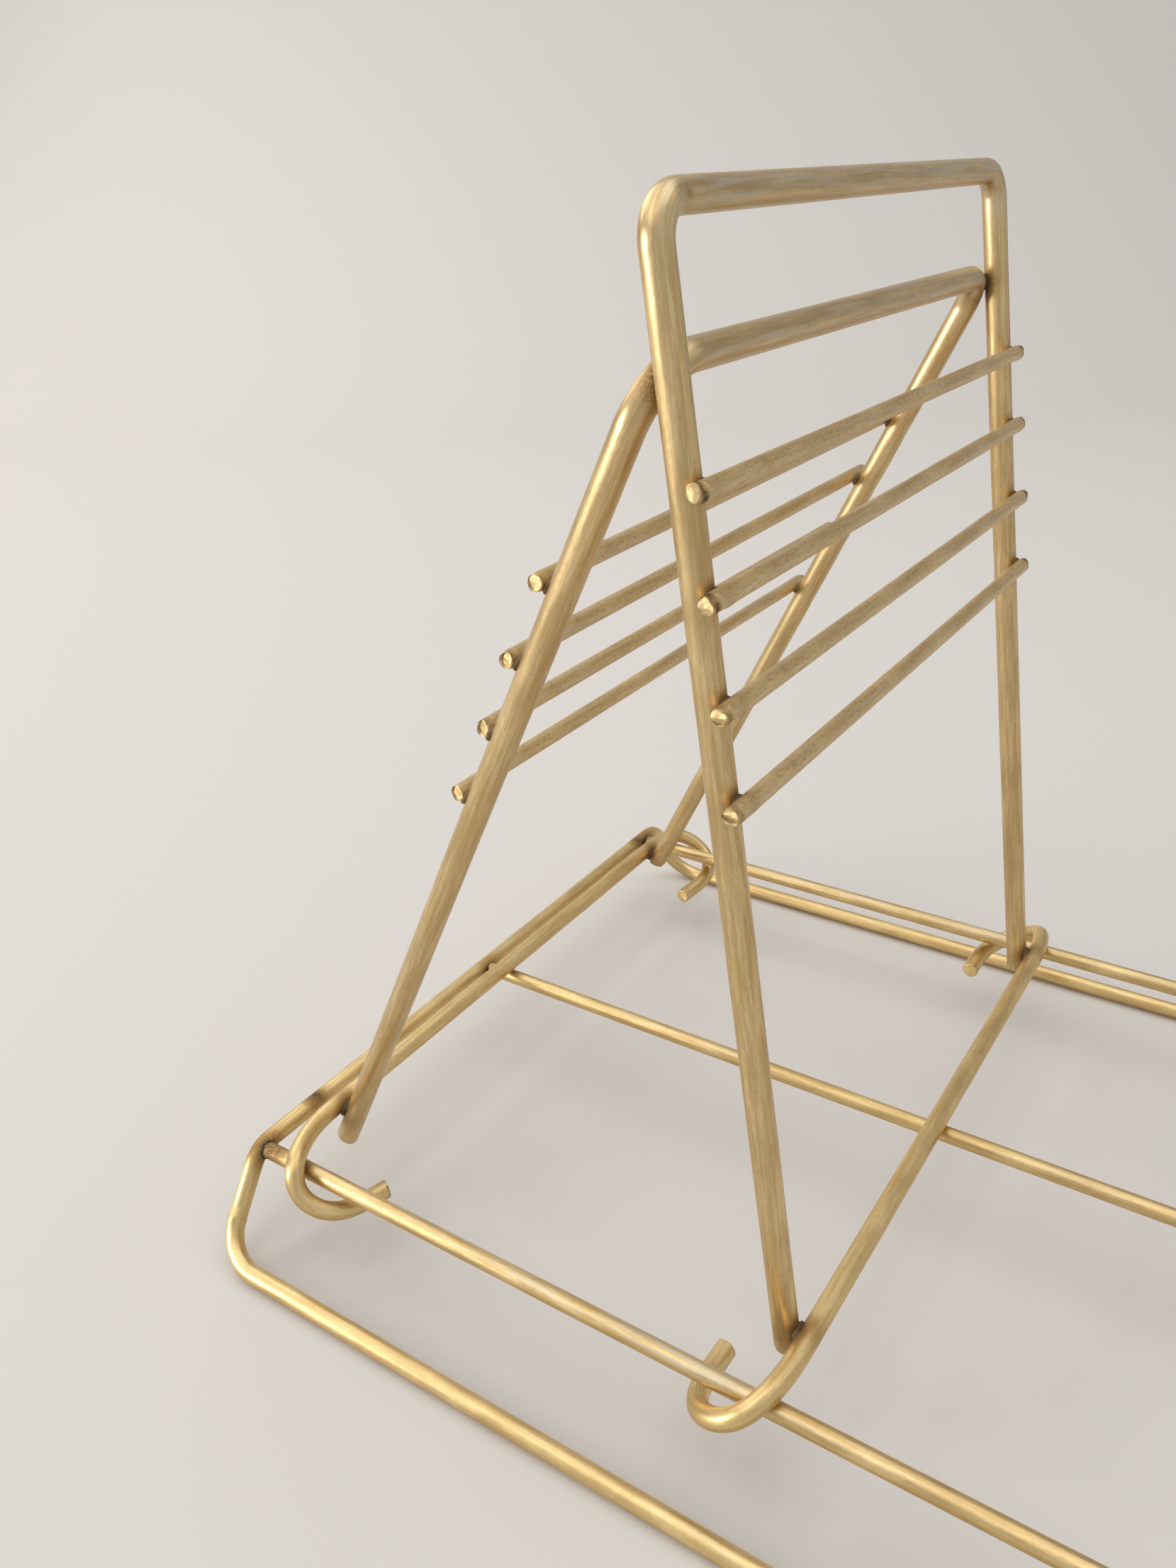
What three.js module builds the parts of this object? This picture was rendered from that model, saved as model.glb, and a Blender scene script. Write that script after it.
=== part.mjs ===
// Book display stand: a wire base with two slide rails, and two A-frame stands that slide along it
// to hold books between them.
// Millimetres. X runs along the rails, Y from front to rear, Z up.
// The origin is the centre of the footprint, on the table.

import * as THREE from "three";

// ---- wire radii ----
const FRAME_R = 1.6; // outer base loop
const RAIL_R = 1.5; // the two slide rails
const CENTRE_R = 1.45; // centre rail
const RUNNER_R = 1.65; // cross wires with hooked ends
const HOOP_R = 2.0; // tall and short hoops
const BAR_R = 1.25; // thin cross bars

// ---- facets ----
const SIDES = 16;
const BAR_SIDES = 12;
const FACET_ANGLE = (2 * Math.PI) / SIDES;
const BEND_STEP = THREE.MathUtils.degToRad(15); // largest turn between two rings of a bend

// ---- finishes ----
const FINISH = {
  frame: { color: 0xb8995c, roughness: 0.34, metalness: 1 },
  rail: { color: 0xb99f66, roughness: 0.32, metalness: 1 },
  runner: { color: 0xb5975a, roughness: 0.34, metalness: 1 },
  hoop: { color: 0xb39a62, roughness: 0.33, metalness: 1 },
  bar: { color: 0xae9660, roughness: 0.42, metalness: 1 },
};

// ---- wire building ----
const vec = (x, y, z) => new THREE.Vector3(x, y, z);
const directionFrom = (start, end) => end.clone().sub(start).normalize();

// A wire's centreline, as stations that each have a position and a direction and carry one ring.
// Straight runs need a station only at their ends.
class Centreline extends THREE.Curve {
  // up sets which way the first ring faces; rollAt gives a station's extra turn about the wire.
  constructor(stations, up, rollAt = () => 0) {
    super();
    this.stations = stations;
    this.up = up;
    this.rollAt = rollAt;
  }

  get steps() {
    return this.stations.length - 1;
  }

  // TubeGeometry asks for one point per step.
  getPointAt(fraction) {
    return this.stations[Math.round(fraction * this.steps)].position.clone();
  }

  // ExtrudeGeometry asks for all the points at once.
  getSpacedPoints() {
    return this.stations.map(({ position }) => position.clone());
  }

  // Each ring is carried from the last by the smallest turn, so the wire doesn't twist beyond
  // its own roll.
  computeFrenetFrames() {
    const tangents = this.stations.map(({ direction }) => direction.clone());
    const first = this.up.clone();
    first.addScaledVector(tangents[0], -first.dot(tangents[0])).normalize();
    const normals = [first];
    const turn = new THREE.Quaternion();
    for (let i = 1; i < tangents.length; i++) {
      turn.setFromUnitVectors(tangents[i - 1], tangents[i]);
      normals.push(normals[i - 1].clone().applyQuaternion(turn));
    }
    normals.forEach((normal, i) =>
      normal.applyAxisAngle(tangents[i], this.rollAt(this.stations[i])),
    );
    const binormals = tangents.map((tangent, i) => tangent.clone().cross(normals[i]));
    return { tangents, normals, binormals };
  }
}

// Stations round one corner of a polyline, on an arc of the given radius.
function bendStations(previous, corner, next, radius) {
  const incoming = directionFrom(previous, corner);
  const outgoing = directionFrom(corner, next);
  const angle = incoming.angleTo(outgoing);
  const inward = outgoing
    .clone()
    .addScaledVector(incoming, -outgoing.dot(incoming))
    .normalize();
  const centre = corner
    .clone()
    .addScaledVector(incoming, -radius * Math.tan(angle / 2))
    .addScaledVector(inward, radius);
  const steps = Math.ceil(angle / BEND_STEP);
  return Array.from({ length: steps + 1 }, (_, i) => {
    const turned = (angle * i) / steps;
    return {
      position: centre
        .clone()
        .addScaledVector(incoming, radius * Math.sin(turned))
        .addScaledVector(inward, -radius * Math.cos(turned)),
      direction: incoming
        .clone()
        .multiplyScalar(Math.cos(turned))
        .addScaledVector(inward, Math.sin(turned)),
    };
  });
}

function piece(name, geometry, finish) {
  const mesh = new THREE.Mesh(geometry, new THREE.MeshStandardMaterial(FINISH[finish]));
  mesh.name = name;
  return mesh;
}

// A regular polygon inside the wire's circle, so that wires which touch don't overlap.
// A flat faces along the first axis.
function wireSection(radius) {
  const corners = Array.from({ length: SIDES }, (_, i) => {
    const angle = (i + 0.5) * FACET_ANGLE;
    return new THREE.Vector2(radius * Math.cos(angle), radius * Math.sin(angle));
  });
  return new THREE.Shape(corners);
}

function wire({ name, stations, radius, finish, up = vec(0, 0, 1) }) {
  const path = new Centreline(stations, up);
  const geometry = new THREE.ExtrudeGeometry(wireSection(radius), {
    steps: path.steps,
    extrudePath: path,
  });
  return piece(name, geometry, finish);
}

// ---- base: one closed loop, raised at both ends, with three rails between the raised bars ----
const END_BAR_X = 396.8 / 2; // axes of the two raised end bars, either side of the centre
const FLOOR_Y = 78.27; // floor rails, either side of the centre plane
const RAIL_Y = 65; // slide rails, either side of the centre plane
const DECK_Z = 15.8; // axis of the raised end bars and slide rails
const CENTRE_Z = 15.75; // axis of the centre rail
// Where the end bar's axis would meet the sloping legs' axes.
const END_BAR_Y = { front: -65.6, rear: 72.0 };
const LEG_LEAN = 2.0; // the floor rails' ends sit this far inside the end bars
const SHOULDER_BEND = 6; // bend from end bar into leg
const CORNER_BEND = 8; // bend from leg into floor rail
const BUTT_GAP = 0.2; // between a rail's cut end and the end bar it is welded to
// The flats of the base loop, not its corners, touch the wire's true circle.
const FRAME_CORNER_R = FRAME_R / Math.cos(Math.PI / SIDES);
const ALONG_X = 0.999999; // a direction with at least this much X is parallel to the rails

function baseLoop() {
  const floorX = END_BAR_X - LEG_LEAN;
  const floorCorner = (x, y) => ({ at: vec(x, y, FRAME_R), radius: CORNER_BEND });
  const shoulder = (x, y) => ({ at: vec(x, y, DECK_Z), radius: SHOULDER_BEND });
  const corners = [
    floorCorner(-floorX, -FLOOR_Y),
    floorCorner(floorX, -FLOOR_Y),
    shoulder(END_BAR_X, END_BAR_Y.front),
    shoulder(END_BAR_X, END_BAR_Y.rear),
    floorCorner(floorX, FLOOR_Y),
    floorCorner(-floorX, FLOOR_Y),
    shoulder(-END_BAR_X, END_BAR_Y.rear),
    shoulder(-END_BAR_X, END_BAR_Y.front),
  ];
  const loop = corners.flatMap(({ at, radius }, i) =>
    bendStations(corners.at(i - 1).at, at, corners[(i + 1) % corners.length].at, radius),
  );

  // The loop starts and closes where the front floor rail's run starts, and the polygon is
  // turned so that a flat lies on the table.
  const start = loop.findIndex(({ direction }) => direction.x > ALONG_X);
  const stations = [...loop.slice(start), ...loop.slice(0, start + 1)];
  const up = vec(0, 0, 1).applyAxisAngle(vec(1, 0, 0), FACET_ANGLE / 2);

  // The front and rear legs slope differently, so a carried ring arrives at the rear run
  // slightly rolled. The roll is taken out between the two runs, to lay a flat on the table
  // under both.
  const rearRun = stations.findIndex(({ direction }) => direction.x < -ALONG_X);
  const carried = new Centreline(stations, up).computeFrenetFrames().normals[rearRun];
  const facetsTurned = Math.atan2(carried.y, carried.z) / FACET_ANGLE - 0.5;
  const excess = (facetsTurned - Math.round(facetsTurned)) * FACET_ANGLE;
  const rollAt = ({ position }) => (-excess * (position.y + FLOOR_Y)) / (2 * FLOOR_Y);

  const path = new Centreline(stations, up, rollAt);
  const geometry = new THREE.TubeGeometry(path, path.steps, FRAME_CORNER_R, SIDES, true);
  return piece("base_frame_loop", geometry, "frame");
}

function rail(name, y, z, radius) {
  const reach = END_BAR_X - FRAME_CORNER_R - BUTT_GAP;
  const stations = [-reach, reach].map((x) => ({
    position: vec(x, y, z),
    direction: vec(1, 0, 0),
  }));
  return wire({ name, stations, radius, finish: "rail" });
}

// ---- stand ----
// A stand's X is measured from its end bar's axis towards the middle of the base.
// Front and rear are those of the left stand; the right one is turned half way round.
const RUNNER_CLEARANCE = 0.1; // above the rails the runners slide on
const RUNNER_Z = DECK_Z + RAIL_R + RUNNER_R + RUNNER_CLEARANCE;
const WELD_GAP = 0.05; // between two wires that are welded side by side

// ---- stand: runners ----
// The hook at each end of a runner curls out over the slide rail, then back under it towards
// the middle of the stand.
// Each station is [offset in X, distance from the centre plane, offset in Z] from the
// runner's axis.
const OUTER_RUNNER = {
  x: 7.05,
  frontHook: [
    [0, 55, 0], [0.45, 58.6, 0], [1.4, 61.9, 0], [2.7, 64.8, -0.02], [4.0, 67.1, -0.4],
    [4.9, 68.4, -1.5], [5.6, 69.1, -3.0], [6.6, 69.3, -4.4], [8.0, 69.1, -5.6],
    [9.6, 68.5, -6.6], [11.1, 67.5, -7.3], [12.5, 65.9, -7.8], [13.6, 63.6, -8.05],
    [14.5, 60.8, -8.2], [15.3, 57.4, -8.3],
  ],
  rearHook: [
    [0, 56, 0], [0.1, 59.6, 0], [0.5, 62.8, 0], [1.4, 65.7, -0.06], [2.9, 67.9, -0.7],
    [4.9, 69.2, -1.9], [7.1, 69.7, -3.5], [9.2, 69.3, -5.1], [10.9, 68.0, -6.4],
    [11.9, 65.8, -7.3], [12.2, 62.8, -8.0], [12.0, 59.5, -8.3], [11.6, 56.3, -8.5],
    [11.2, 53.6, -8.55],
  ],
};
const INNER_RUNNER = {
  x: 100.5,
  frontHook: [
    [0, 57, 0], [-0.15, 60.8, 0], [-0.6, 64.2, -0.02], [-1.25, 66.8, -0.3],
    [-2.15, 68.3, -1.0], [-3.35, 69.3, -2.05], [-4.95, 69.9, -3.25], [-6.85, 69.9, -4.4],
    [-8.8, 69.2, -5.6], [-10.5, 67.8, -6.7], [-11.65, 65.9, -7.5], [-12.3, 63.5, -8.1],
    [-12.5, 60.6, -8.55], [-12.5, 57.8, -8.75], [-12.5, 55.2, -8.85],
  ],
  rearHook: [
    [0, 57, 0], [-0.2, 60.8, 0], [-0.7, 64.2, -0.02], [-1.4, 66.8, -0.3],
    [-2.3, 68.3, -1.0], [-3.6, 69.3, -2.05], [-5.3, 69.9, -3.25], [-7.3, 69.9, -4.4],
    [-9.4, 69.2, -5.6], [-11.2, 67.8, -6.7], [-12.4, 65.8, -7.5], [-13.0, 63.3, -8.1],
    [-13.2, 60.5, -8.6], [-13.2, 58.2, -8.85],
  ],
};

// Stations from the runner's straight run to the hook's tip. side is -1 at the front, 1 at the rear.
function hookStations(hook, runnerX, side) {
  const points = hook.map(([x, y, z]) => vec(runnerX + x, side * y, RUNNER_Z + z));
  const curve = new THREE.CatmullRomCurve3(points, false, "centripetal");
  const count = points.length - 1;
  return points.map((position, i) => ({
    position,
    direction: i === 0 ? vec(0, side, 0) : curve.getTangent(i / count).normalize(),
  }));
}

function runner(name, { x, frontHook, rearHook }) {
  // The wire runs from the front hook's tip to the rear one's, so the front hook is reversed.
  const front = hookStations(frontHook, x, -1).reverse();
  front.forEach(({ direction }) => direction.negate());
  const stations = [...front, ...hookStations(rearHook, x, 1)];
  return wire({ name, stations, radius: RUNNER_R, finish: "runner" });
}

// ---- stand: hoops and their cross bars ----
// outward: the way in X that the hoop faces, out of the A-frame
// top: where the legs' axes would meet the top run's axis
// footY: where each leg's axis passes the runner's height
// footDrop: how far each cut foot runs below the runner's axis, along the leg
// bend: bend radii at the front and rear of the top
// bars: rows of [height on front leg, height on rear leg, Y of front end, Y of rear end]

// The books lean on the tall hoop.
const TALL_HOOP = {
  runnerX: INNER_RUNNER.x,
  outward: 1,
  top: { x: 76.76, front: -54.15, rear: 55.95, z: 166.94 },
  footY: { front: -54.09, rear: 57.2 },
  footDrop: { front: 3.8, rear: 3.8 },
  bend: { front: 4.8, rear: 4.5 },
  bars: [
    [138.1, 138.1, -58.6, 56.3],
    [126.2, 126.2, -58.6, 56.2],
    [113.4, 113.4, -58.6, 57.0],
    [101.1, 101.1, -58.6, 56.6],
  ],
};
// The short hoop props the tall one.
const SHORT_HOOP = {
  runnerX: OUTER_RUNNER.x,
  outward: -1,
  top: { x: 77.0, front: -54.24, rear: 54.36, z: 150.9 },
  footY: { front: -51.4, rear: 56.1 },
  footDrop: { front: 9.0, rear: 2.8 },
  bend: { front: 8, rear: 6.5 },
  bars: [
    [123.4, 125.1, -55.4, 59.6],
    [112.35, 113.75, -55.1, 59.6],
    [101.35, 101.8, -54.1, 59.6],
    [90.25, 90.3, -54.1, 59.4],
  ],
};
const LEAN_PASSES = 8; // enough for the foot's place and the lean to settle

// Where a hoop's legs pass the runner they are welded beside, and their angle from upright.
function hoopLean({ runnerX, outward, top }) {
  const apart = RUNNER_R + HOOP_R + WELD_GAP;
  const angleFrom = (x) => Math.atan2(top.x - x, top.z - RUNNER_Z);
  let footX = runnerX - outward * apart;
  for (let i = 0; i < LEAN_PASSES; i++)
    footX = runnerX - (outward * apart) / Math.cos(angleFrom(footX));
  return { footX, angle: angleFrom(footX) };
}

function hoop(name, { top, footY, footDrop, bend }, footX) {
  const leg = (end) => {
    const topCorner = vec(top.x, top[end], top.z);
    const foot = vec(footX, footY[end], RUNNER_Z);
    const upward = directionFrom(foot, topCorner);
    return { foot: foot.addScaledVector(upward, -footDrop[end]), topCorner, upward };
  };
  const front = leg("front");
  const rear = leg("rear");
  const stations = [
    { position: front.foot, direction: front.upward },
    ...bendStations(front.foot, front.topCorner, rear.topCorner, bend.front),
    ...bendStations(front.topCorner, rear.topCorner, rear.foot, bend.rear),
    { position: rear.foot, direction: rear.upward.negate() },
  ];
  return wire({ name, stations, radius: HOOP_R, finish: "hoop", up: vec(0, 1, 0) });
}

// A straight thin bar, welded across the outward faces of a hoop's two legs.
function crossBar(name, [frontZ, rearZ, frontY, rearY], { footX, angle }, outward) {
  const offset = outward * (HOOP_R + BAR_R + WELD_GAP);
  const barEnd = (y, z) =>
    vec(
      footX + (z - RUNNER_Z) * Math.tan(angle) + offset * Math.cos(angle),
      y,
      z - offset * Math.sin(angle),
    );
  const front = barEnd(frontY, frontZ);
  const rear = barEnd(rearY, rearZ);
  const length = front.distanceTo(rear);
  const mesh = piece(name, new THREE.CylinderGeometry(BAR_R, BAR_R, length, BAR_SIDES), "bar");
  mesh.position.copy(front).add(rear).multiplyScalar(0.5);
  mesh.quaternion.setFromUnitVectors(vec(0, 1, 0), directionFrom(front, rear));
  return mesh;
}

function stand(prefix) {
  const tallLean = hoopLean(TALL_HOOP);
  const shortLean = hoopLean(SHORT_HOOP);
  const crossBars = (kind, { bars, outward }, lean) =>
    bars.map((bar, i) => crossBar(`${prefix}_${kind}_bar_${i + 1}`, bar, lean, outward));
  const group = new THREE.Group();
  group.add(
    runner(`${prefix}_outer_runner`, OUTER_RUNNER),
    runner(`${prefix}_inner_runner`, INNER_RUNNER),
    hoop(`${prefix}_tall_hoop`, TALL_HOOP, tallLean.footX),
    hoop(`${prefix}_short_hoop`, SHORT_HOOP, shortLean.footX),
    ...crossBars("book", TALL_HOOP, tallLean),
    ...crossBars("brace", SHORT_HOOP, shortLean),
  );
  return group;
}

// ---- assembly ----
const left = stand("left");
left.position.x = -END_BAR_X;

// The other stand is the same piece turned half way round.
const right = stand("right");
right.rotation.z = Math.PI;
right.position.x = END_BAR_X;

const bookStand = new THREE.Group();
bookStand.add(
  baseLoop(),
  rail("front_slide_rail", -RAIL_Y, DECK_Z, RAIL_R),
  rail("rear_slide_rail", RAIL_Y, DECK_Z, RAIL_R),
  rail("centre_rail", 0, CENTRE_Z, CENTRE_R),
  left,
  right,
);

export default bookStand;
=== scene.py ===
"""Book display stand in brass wire: a low base that carries two sliding stands.

The base is one closed loop with three rails, long along x, standing on z = 0; its front faces -y.
Each stand hooks over the front and rear rails with two runners and carries a tall and a short
hoop, with bars across both. The right stand is the left one given a half turn about z.
Each wire is swept along the centreline of its CAD piece, with its sheared ends, flat electrode
prints, dents and weld metal. Geometry is in millimetres until a mesh is made; the studio is in
metres.
"""

import math
from collections import namedtuple

import bmesh
import bpy
import numpy as np
from mathutils import Matrix, Vector, noise


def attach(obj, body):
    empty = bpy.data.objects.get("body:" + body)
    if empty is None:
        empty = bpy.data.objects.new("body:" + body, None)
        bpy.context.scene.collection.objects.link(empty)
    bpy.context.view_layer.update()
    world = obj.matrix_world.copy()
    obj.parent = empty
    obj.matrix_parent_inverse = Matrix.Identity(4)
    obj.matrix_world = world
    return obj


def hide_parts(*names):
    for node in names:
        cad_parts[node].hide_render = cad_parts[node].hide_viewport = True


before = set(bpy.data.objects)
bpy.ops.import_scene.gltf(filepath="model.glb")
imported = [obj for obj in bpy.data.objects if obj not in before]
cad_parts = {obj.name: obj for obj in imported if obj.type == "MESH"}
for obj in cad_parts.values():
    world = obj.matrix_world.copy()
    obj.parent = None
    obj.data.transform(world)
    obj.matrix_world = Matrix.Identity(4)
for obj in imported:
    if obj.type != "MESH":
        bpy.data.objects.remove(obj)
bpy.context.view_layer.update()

MM = 0.001

# A hollow on the side that faces a direction.
Dent = namedtuple("Dent", "place facing depth reach")
# The flat print of a welding electrode.
Flat = namedtuple("Flat", "place facing depth half_length")
# A raised butt-weld ring round the wire.
Collar = namedtuple("Collar", "place height half_width")
# Heat colour; the same darkening also paints shadow and shade.
Heat = namedtuple("Heat", "place strength reach")
# Weld metal. across runs through the contact; size is measured across, along and square to both.
Lump = namedtuple("Lump", "seed centre across along size heat")
# A sheared end: the ridge's angle, the slopes of the facets on its plus and minus sides, the
# ridge's offset as a share of the radius, and the slant of the whole cut.
Cut = namedtuple("Cut", "tilt plus_slope minus_slope offset slant")
# A centreline with its frame of directions and the length run at each station.
Path = namedtuple("Path", "points along normal across run")


def vec(x, y, z):
    return np.array((x, y, z), float)


X_AXIS, Y_AXIS, Z_AXIS = vec(1, 0, 0), vec(0, 1, 0), vec(0, 0, 1)

# ---------------------------------------------------------------- sizes, as in the CAD
FRAME_R, RAIL_R, CENTRE_R = 1.6, 1.5, 1.45
RUNNER_R, HOOP_R, BAR_R = 1.65, 2.0, 1.25
WELD_GAP = 0.05

HALF_LENGTH = 396.8 / 2  # centre of the base to an end bar
LEG_LEAN = 2.0  # how far the floor corners stand inside the end bars
FLOOR_Y, RAIL_Y = 78.27, 65.0
DECK_Z, CENTRE_Z = 15.8, 15.75
END_BAR_FRONT, END_BAR_REAR = -65.6, 72.0
SHOULDER_BEND, CORNER_BEND = 6.0, 8.0

RUNNER_Z = 19.05

# Stand sizes: x is measured from the end bar, and front is the left stand's front.
# Hooks: x from the runner, y outwards from the middle, z from RUNNER_Z.
RUNNERS = {
    "outer": dict(
        x=7.05,
        front_hook=(
            (0, 55, 0), (0.45, 58.6, 0), (1.4, 61.9, 0), (2.7, 64.8, -0.02), (4.0, 67.1, -0.4),
            (4.9, 68.4, -1.5), (5.6, 69.1, -3.0), (6.6, 69.3, -4.4), (8.0, 69.1, -5.6),
            (9.6, 68.5, -6.6), (11.1, 67.5, -7.3), (12.5, 65.9, -7.8), (13.6, 63.6, -8.05),
            (14.5, 60.8, -8.2), (15.3, 57.4, -8.3),
        ),
        rear_hook=(
            (0, 56, 0), (0.1, 59.6, 0), (0.5, 62.8, 0), (1.4, 65.7, -0.06), (2.9, 67.9, -0.7),
            (4.9, 69.2, -1.9), (7.1, 69.7, -3.5), (9.2, 69.3, -5.1), (10.9, 68.0, -6.4),
            (11.9, 65.8, -7.3), (12.2, 62.8, -8.0), (12.0, 59.5, -8.3), (11.6, 56.3, -8.5),
            (11.2, 53.6, -8.55),
        ),
        cuts=(Cut(0.2, 0.3, 0.22, 0.1, 0.0), Cut(0.9, 0.25, 0.25, 0.0, 0.0)),
        seed=3,
    ),
    "inner": dict(
        x=100.5,
        front_hook=(
            (0, 57, 0), (-0.15, 60.8, 0), (-0.6, 64.2, -0.02), (-1.25, 66.8, -0.3),
            (-2.15, 68.3, -1.0), (-3.35, 69.3, -2.05), (-4.95, 69.9, -3.25), (-6.85, 69.9, -4.4),
            (-8.8, 69.2, -5.6), (-10.5, 67.8, -6.7), (-11.65, 65.9, -7.5), (-12.3, 63.5, -8.1),
            (-12.5, 60.6, -8.55), (-12.5, 57.8, -8.75), (-12.5, 55.2, -8.85),
        ),
        rear_hook=(
            (0, 57, 0), (-0.2, 60.8, 0), (-0.7, 64.2, -0.02), (-1.4, 66.8, -0.3),
            (-2.3, 68.3, -1.0), (-3.6, 69.3, -2.05), (-5.3, 69.9, -3.25), (-7.3, 69.9, -4.4),
            (-9.4, 69.2, -5.6), (-11.2, 67.8, -6.7), (-12.4, 65.8, -7.5), (-13.0, 63.3, -8.1),
            (-13.2, 60.5, -8.6), (-13.2, 58.2, -8.85),
        ),
        cuts=(Cut(0.7, 0.28, 0.2, 0.0, 0.0), Cut(0.1, 0.24, 0.3, 0.1, 0.0)),
        seed=4,
    ),
}

# Pairs are front, rear. side: on which side of its runner a hoop stands along x; its bars are
# on the other side of its legs. drop: how far a leg runs on below the runner.
# bars: height at the front and rear, y at the front and rear.
HOOPS = {
    "tall": dict(
        runner="inner", side=-1, top_x=76.76, top_z=166.94,
        top_y=(-54.15, 55.95), foot_y=(-54.09, 57.2), bend=(4.8, 4.5), drop=(3.8, 3.8),
        kind="book",
        bars=(
            (138.1, 138.1, -58.6, 56.3), (126.2, 126.2, -58.6, 56.2),
            (113.4, 113.4, -58.6, 57.0), (101.1, 101.1, -58.6, 56.6),
        ),
        cuts=(Cut(0.4, 0.20, 0.16, 0.1, 0.0), Cut(2.0, 0.18, 0.2, -0.1, 0.0)),
        seed=1, wear_from=157,
    ),
    "short": dict(
        runner="outer", side=1, top_x=77.0, top_z=150.9,
        top_y=(-54.24, 54.36), foot_y=(-51.4, 56.1), bend=(8.0, 6.5), drop=(9.0, 2.8),
        kind="brace",
        bars=(
            (123.4, 125.1, -55.4, 59.6), (112.35, 113.75, -55.1, 59.6),
            (101.35, 101.8, -54.1, 59.6), (90.25, 90.3, -54.1, 59.4),
        ),
        cuts=(Cut(1.2, 0.22, 0.12, 0.0, 0.0), Cut(0.3, 0.16, 0.2, 0.1, 0.0)),
        seed=2, wear_from=141,
    ),
}

# grooves: strength of the darkened groove behind each bar's ends, at -y and +y.
# cuts: each bar's end at the stand's front. pinch: range of the squeeze at that end.
BAR_KINDS = {
    "book": dict(
        lump_heat=0.5, heat=1.0, seed=20, pinch=(0.13, 0.18),
        grooves=((1.0, 0.45), (0.95, 0.3), (0.5, 0.5), (0.4, 0.35)),
        cuts=(
            Cut(1.25, 0.30, 0.26, 0.1, 0.0), Cut(0.1, 0.42, 0.22, 0.25, 0.05),
            Cut(-0.05, 0.55, 0.35, 0.0, 0.0), Cut(0.12, 0.60, 0.30, -0.3, 0.1),
        ),
    ),
    "brace": dict(
        lump_heat=0.3, heat=0.5, seed=30, pinch=(0.07, 0.11),
        grooves=((0.25, 0.3), (0.35, 0.2), (0.3, 0.3), (0.2, 0.25)),
        cuts=(
            Cut(0.9, 0.05, 0.10, 0.5, 0.24), Cut(1.1, 0.06, 0.12, 0.2, 0.28),
            Cut(0.95, 0.08, 0.05, 0.1, 0.30), Cut(0.6, 0.10, 0.06, 0.4, 0.26),
        ),
    ),
}


# ---------------------------------------------------------------- centrelines
def unit(vector):
    return vector / np.linalg.norm(vector)


def fill(points, spacing):
    """The polyline with extra points, so that no step is longer than spacing."""
    out = [points[0]]
    for start, end in zip(points[:-1], points[1:]):
        steps = max(1, int(math.ceil(np.linalg.norm(end - start) / spacing)))
        out += [start + (end - start) * k / steps for k in range(1, steps + 1)]
    return out


def rounded(corners, radii, turn, run, closed=False):
    """A polyline with rounded corners; no step turns more than turn or is longer than run."""
    count = len(corners)
    arcs = []
    for i, here in enumerate(corners):
        if not closed and i in (0, count - 1):
            arcs.append([here])
            continue
        before = unit(here - corners[i - 1])
        after = unit(corners[(i + 1) % count] - here)
        angle = math.acos(max(-1.0, min(1.0, float(before @ after))))
        radius = radii[i]
        inward = unit(after - before * (after @ before))
        centre = here - before * radius * math.tan(angle / 2) + inward * radius
        steps = max(4, int(math.ceil(angle / turn)))
        arc = []
        for k in range(steps + 1):
            part = angle * k / steps
            offset = before * radius * math.sin(part) - inward * radius * math.cos(part)
            arc.append(centre + offset)
        arcs.append(arc)
    line = []
    for arc in arcs:
        if line:
            line += fill([line[-1], arc[0]], run)[1:]
        line += arc
    if closed:
        line += fill([line[-1], line[0]], run)[1:-1]
    clean = [line[0]]
    for point in line[1:]:
        if np.linalg.norm(point - clean[-1]) > 1e-4:
            clean.append(point)
    return np.array(clean)


def centripetal(points, steps=16):
    """A centripetal Catmull-Rom curve through the points."""

    def between(start, end, start_time, end_time, time):
        span = end_time - start_time
        return (end_time - time) / span * start + (time - start_time) / span * end

    points = [2 * points[0] - points[1], *points, 2 * points[-1] - points[-2]]
    out = []
    for i in range(1, len(points) - 2):
        knots = points[i - 1 : i + 3]
        times = [0.0]
        for start, end in zip(knots[:-1], knots[1:]):
            times.append(times[-1] + math.sqrt(np.linalg.norm(end - start)))
        for k in range(steps):
            time = times[1] + (times[2] - times[1]) * k / steps
            level = knots
            for span in (1, 2):
                level = [
                    between(level[j], level[j + 1], times[j], times[j + span], time)
                    for j in range(4 - span)
                ]
            out.append(between(level[0], level[1], times[1], times[2], time))
    out.append(points[-2])
    return np.array(out)


def arclength(line):
    return np.concatenate([[0], np.cumsum(np.linalg.norm(np.diff(line, axis=0), axis=1))])


def even(line, spacing):
    run = arclength(line)
    count = max(2, int(round(run[-1] / spacing)) + 1)
    stops = np.linspace(0, run[-1], count)
    return np.column_stack([np.interp(stops, run, line[:, k]) for k in range(3)])


def relax(line, sigma, spacing):
    """The line with its small unevenness smoothed out; its two ends stay where they are."""
    reach = int(math.ceil(3 * sigma / spacing))
    weights = np.exp(-0.5 * (np.arange(-reach, reach + 1) * spacing / sigma) ** 2)
    weights /= weights.sum()
    head = 2 * line[0] - line[1 : reach + 1][::-1]
    tail = 2 * line[-1] - line[-reach - 1 : -1][::-1]
    padded = np.vstack([head, line, tail])
    return np.column_stack([np.convolve(padded[:, k], weights, "valid") for k in range(3)])


def runner_line(x, front_hook, rear_hook):
    front = [vec(x + dx, -y, RUNNER_Z + dz) for dx, y, dz in front_hook][::-1]
    rear = [vec(x + dx, y, RUNNER_Z + dz) for dx, y, dz in rear_hook]
    line = np.vstack([centripetal(front), centripetal(rear)])
    spacing = 0.45
    return relax(even(line, spacing), 1.1, spacing)


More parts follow.
